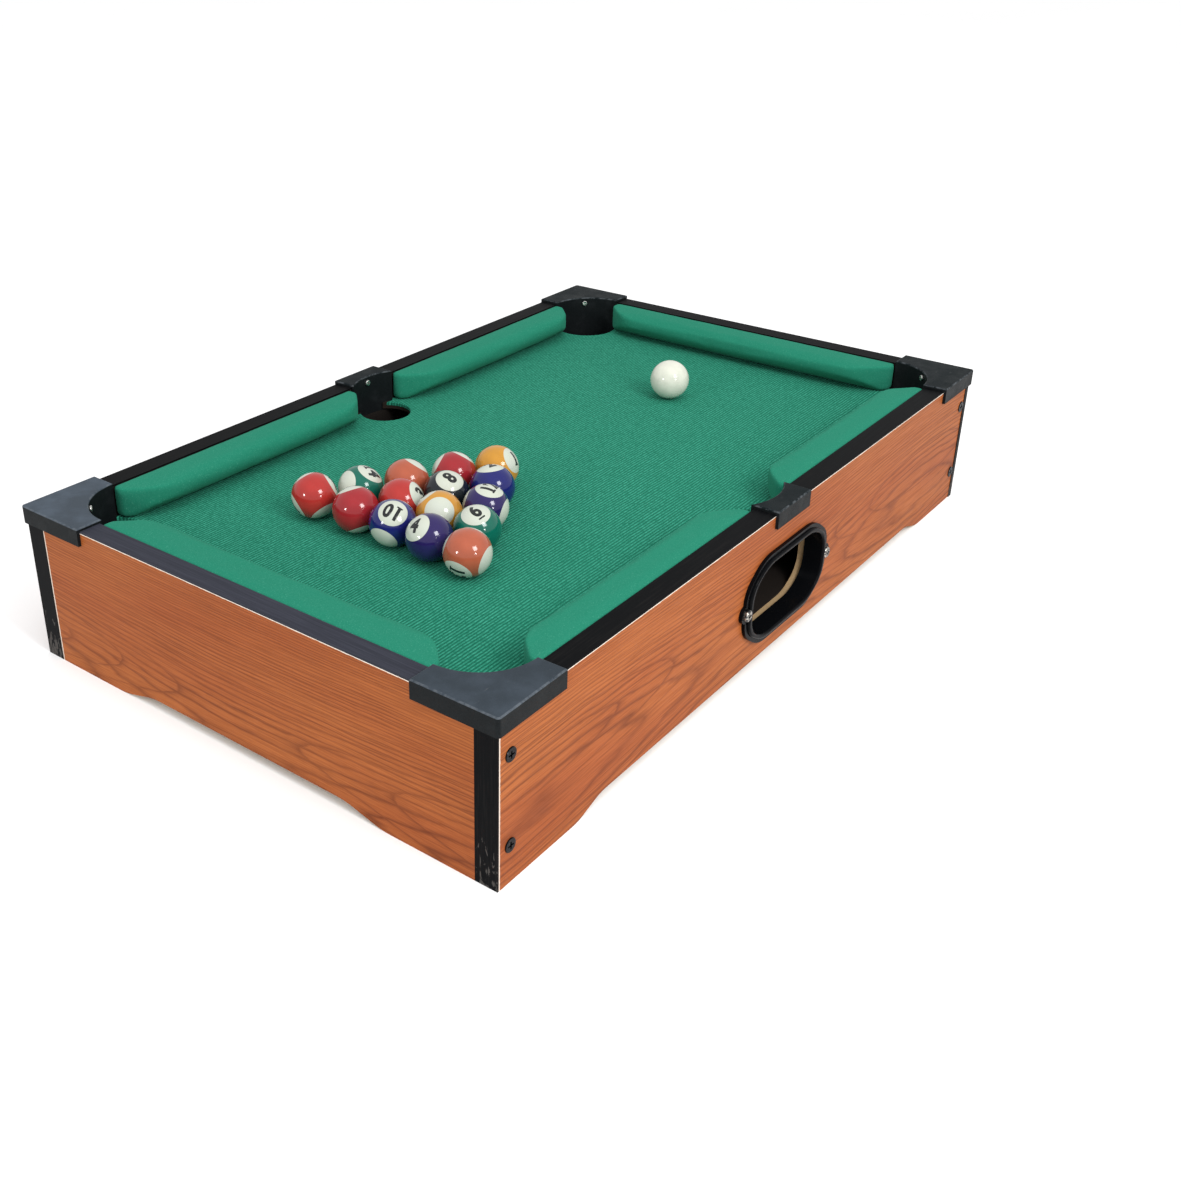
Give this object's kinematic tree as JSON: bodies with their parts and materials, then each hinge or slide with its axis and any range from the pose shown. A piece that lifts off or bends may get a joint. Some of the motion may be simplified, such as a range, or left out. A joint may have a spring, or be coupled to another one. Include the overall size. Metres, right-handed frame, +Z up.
{
  "type": "mini pool table",
  "caption": "Tabletop pool table with a laminated box frame, felt playfield and cushions, drop pockets, an under-table ball return and a racked set of balls.",
  "frame": {"origin": "middle of the footprint, on the surface that the table stands on", "axes": "+X along the table's length from the end where the balls are racked, +Y across it away from the ball-return mouth, +Z up"},
  "size_m": [0.5116, 0.3208, 0.0961],
  "materials": {
    "laminated_board": "cherry wood-grain laminate on fibreboard, satin",
    "edge_band": "black edge band with a faint grain",
    "cap_plastic": "dark moulded plastic with a fine leather texture",
    "bezel_plastic": "glossy black moulding",
    "playfield_felt": "green felt with fine lengthwise ribs",
    "cushion_felt": "green brushed felt over foam",
    "tray_board": "bare fibreboard",
    "softwood": "sawn softwood batten",
    "panel_screw": "black oxide cross-head screw",
    "bezel_screw": "blackened screw, worn bright on the dome",
    "pocket_screw": "bright zinc-plated cross-head screw",
    "cue_ball": "polished ivory white resin",
    "ball_01": "polished resin, solid colour, plain number in a white disc",
    "ball_02": "polished resin, solid colour, plain number in a white disc",
    "ball_03": "polished resin, solid colour, plain number in a white disc",
    "ball_04": "polished resin, solid colour, plain number in a white disc",
    "ball_05": "polished resin, solid colour, plain number in a white disc",
    "ball_06": "polished resin, solid colour, plain number in a white disc",
    "ball_07": "polished resin, solid colour, plain number in a white disc",
    "ball_08": "polished resin, solid colour, plain number in a white disc",
    "ball_09": "polished resin, white with a broad stripe, plain number in a white disc",
    "ball_10": "polished resin, white with a broad stripe, plain number in a white disc",
    "ball_11": "polished resin, white with a broad stripe, plain number in a white disc",
    "ball_12": "polished resin, white with a broad stripe, plain number in a white disc",
    "ball_13": "polished resin, white with a broad stripe, plain number in a white disc",
    "ball_14": "polished resin, white with a broad stripe, plain number in a white disc",
    "ball_15": "polished resin, white with a broad stripe, plain number in a white disc"
  },
  "bodies": {
    "table": {"bezel_screws": "bezel_screw", "front_end_bands": "edge_band", "front_left_cleat": "softwood", "front_left_corner_block": "softwood", "front_left_corner_cap": "cap_plastic", "front_left_cushion": "cushion_felt", "front_middle_cap": "cap_plastic", "front_panel": "laminated_board", "front_right_cleat": "softwood", "front_right_corner_block": "softwood", "front_right_corner_cap": "cap_plastic", "front_right_cushion": "cushion_felt", "front_top_band": "edge_band", "left_cleat": "softwood", "left_cushion": "cushion_felt", "left_panel": "laminated_board", "left_top_band": "edge_band", "left_tray": "tray_board", "left_tray_bearer": "softwood", "middle_tray_bearer": "softwood", "panel_screws": "panel_screw", "playfield_board": "tray_board", "playfield_felt": "playfield_felt", "pocket_screws": "pocket_screw", "rear_end_bands": "edge_band", "rear_left_cleat": "softwood", "rear_left_corner_block": "softwood", "rear_left_corner_cap": "cap_plastic", "rear_left_cushion": "cushion_felt", "rear_middle_cap": "cap_plastic", "rear_panel": "laminated_board", "rear_right_cleat": "softwood", "rear_right_corner_block": "softwood", "rear_right_corner_cap": "cap_plastic", "rear_right_cushion": "cushion_felt", "rear_top_band": "edge_band", "return_bezel": "bezel_plastic", "right_cleat": "softwood", "right_cushion": "cushion_felt", "right_panel": "laminated_board", "right_top_band": "edge_band", "right_tray": "tray_board", "right_tray_bearer": "softwood"},
    "ball_01": {"ball_01": "ball_01"},
    "ball_02": {"ball_02": "ball_02"},
    "ball_03": {"ball_03": "ball_03"},
    "ball_04": {"ball_04": "ball_04"},
    "ball_05": {"ball_05": "ball_05"},
    "ball_06": {"ball_06": "ball_06"},
    "ball_07": {"ball_07": "ball_07"},
    "ball_08": {"ball_08": "ball_08"},
    "ball_09": {"ball_09": "ball_09"},
    "ball_10": {"ball_10": "ball_10"},
    "ball_11": {"ball_11": "ball_11"},
    "ball_12": {"ball_12": "ball_12"},
    "ball_13": {"ball_13": "ball_13"},
    "ball_14": {"ball_14": "ball_14"},
    "ball_15": {"ball_15": "ball_15"},
    "cue_ball": {"cue_ball": "cue_ball"}
  },
  "joints": [
    {"name": "ball_01_lift", "type": "slide", "parent": "table", "child": "ball_01", "axis": [0, 0, 1], "range_m": [0, 0.06]},
    {"name": "ball_02_lift", "type": "slide", "parent": "table", "child": "ball_02", "axis": [0, 0, 1], "range_m": [0, 0.06]},
    {"name": "ball_03_lift", "type": "slide", "parent": "table", "child": "ball_03", "axis": [0, 0, 1], "range_m": [0, 0.06]},
    {"name": "ball_04_lift", "type": "slide", "parent": "table", "child": "ball_04", "axis": [0, 0, 1], "range_m": [0, 0.06]},
    {"name": "ball_05_lift", "type": "slide", "parent": "table", "child": "ball_05", "axis": [0, 0, 1], "range_m": [0, 0.06]},
    {"name": "ball_06_lift", "type": "slide", "parent": "table", "child": "ball_06", "axis": [0, 0, 1], "range_m": [0, 0.06]},
    {"name": "ball_07_lift", "type": "slide", "parent": "table", "child": "ball_07", "axis": [0, 0, 1], "range_m": [0, 0.06]},
    {"name": "ball_08_lift", "type": "slide", "parent": "table", "child": "ball_08", "axis": [0, 0, 1], "range_m": [0, 0.06]},
    {"name": "ball_09_lift", "type": "slide", "parent": "table", "child": "ball_09", "axis": [0, 0, 1], "range_m": [0, 0.06]},
    {"name": "ball_10_lift", "type": "slide", "parent": "table", "child": "ball_10", "axis": [0, 0, 1], "range_m": [0, 0.06]},
    {"name": "ball_11_lift", "type": "slide", "parent": "table", "child": "ball_11", "axis": [0, 0, 1], "range_m": [0, 0.06]},
    {"name": "ball_12_lift", "type": "slide", "parent": "table", "child": "ball_12", "axis": [0, 0, 1], "range_m": [0, 0.06]},
    {"name": "ball_13_lift", "type": "slide", "parent": "table", "child": "ball_13", "axis": [0, 0, 1], "range_m": [0, 0.06]},
    {"name": "ball_14_lift", "type": "slide", "parent": "table", "child": "ball_14", "axis": [0, 0, 1], "range_m": [0, 0.06]},
    {"name": "ball_15_lift", "type": "slide", "parent": "table", "child": "ball_15", "axis": [0, 0, 1], "range_m": [0, 0.06]},
    {"name": "cue_ball_run", "type": "slide", "parent": "table", "child": "cue_ball", "axis": [-1, 0, 0], "range_m": [-0.0695, 0.158]}
  ]
}
